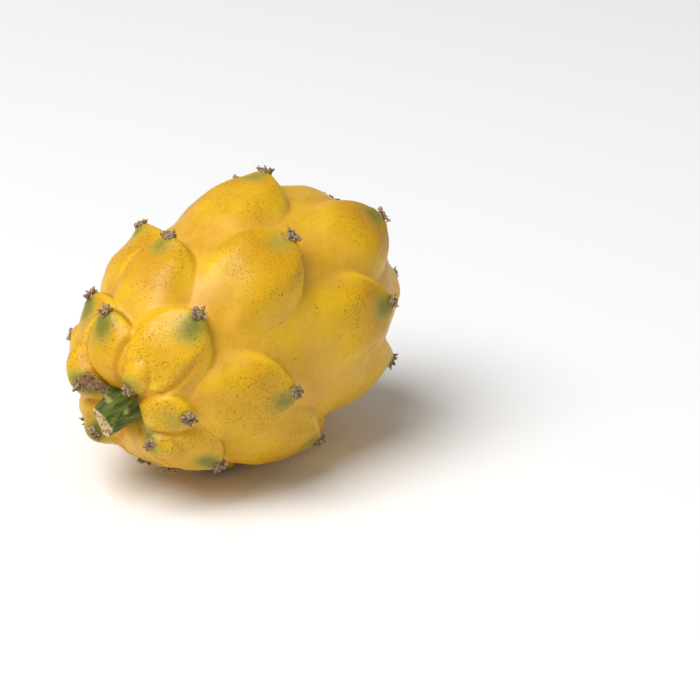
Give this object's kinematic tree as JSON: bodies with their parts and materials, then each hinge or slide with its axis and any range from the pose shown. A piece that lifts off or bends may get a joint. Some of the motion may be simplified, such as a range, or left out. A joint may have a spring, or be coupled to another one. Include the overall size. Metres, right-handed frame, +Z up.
{
  "type": "dragon fruit",
  "caption": "Whole yellow dragon fruit lying on its side: an oval body with scale-like bumps, dry spine tufts, a cut stem stub and a dry flower scar.",
  "frame": {"origin": "centre of the bounding box in X and Y, on the surface that the fruit rests on", "axes": "+Z up; the long axis of the fruit runs along X, stem end towards -X and flower end towards +X, with the flower end slightly higher"},
  "size_m": [0.1078, 0.077, 0.0768],
  "materials": {
    "skin": "satin waxy yellow rind with fine olive-brown freckles and green flushes",
    "stem": "fresh dark green stem flesh with a dry tan cut",
    "spines": "dry, matt, greyish brown",
    "dry_flower": "dry, matt, papery brown"
  },
  "bodies": {
    "root": {"dry_bract": "dry_flower", "flower_scar": "dry_flower", "fruit": "skin", "spine_cushion_01": "spines", "spine_cushion_02": "spines", "spine_cushion_03": "spines", "spine_cushion_04": "spines", "spine_cushion_05": "spines", "spine_cushion_06": "spines", "spine_cushion_07": "spines", "spine_cushion_08": "spines", "spine_cushion_09": "spines", "spine_cushion_10": "spines", "spine_cushion_11": "spines", "spine_cushion_12": "spines", "spine_cushion_13": "spines", "spine_cushion_14": "spines", "spine_cushion_15": "spines", "spine_cushion_16": "spines", "spine_cushion_17": "spines", "spine_cushion_18": "spines", "spine_cushion_19": "spines", "spine_cushion_20": "spines", "spine_cushion_21": "spines", "spine_cushion_22": "spines", "spine_cushion_23": "spines", "spine_cushion_24": "spines", "spine_cushion_25": "spines", "spine_cushion_26": "spines", "spine_cushion_27": "spines", "spine_cushion_28": "spines", "spine_cushion_29": "spines", "spine_cushion_30": "spines", "spine_cushion_31": "spines", "spine_cushion_32": "spines", "stem_stub": "stem"}
  },
  "joints": []
}
